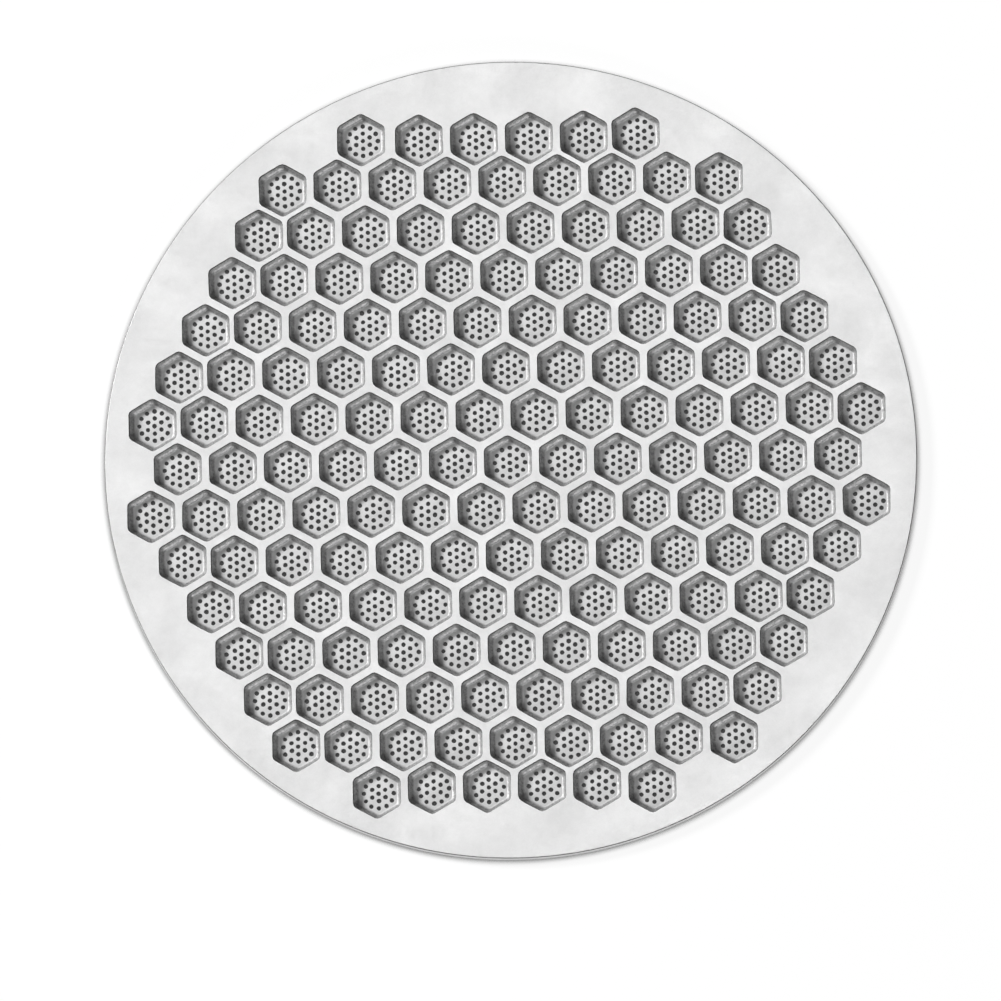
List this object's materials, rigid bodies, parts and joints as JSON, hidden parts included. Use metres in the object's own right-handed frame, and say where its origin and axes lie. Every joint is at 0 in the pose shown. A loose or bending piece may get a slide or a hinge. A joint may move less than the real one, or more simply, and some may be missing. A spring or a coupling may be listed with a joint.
{
  "type": "espresso puck screen",
  "caption": "Round flat steel screen with a honeycomb of hexagonal pockets on its face, each with fine holes through its thin floor.",
  "frame": {"origin": "centre of the plate's plain back face, which is the face it rests on", "axes": "+Z out of the pocketed face, which looks up; +X along a row of pockets"},
  "size_m": [0.053, 0.053, 0.0008],
  "materials": {
    "etched_steel": "plain etched stainless steel, pale satin face, darker in the pockets"
  },
  "bodies": {
    "root": {"screen_plate": "etched_steel"}
  },
  "joints": []
}
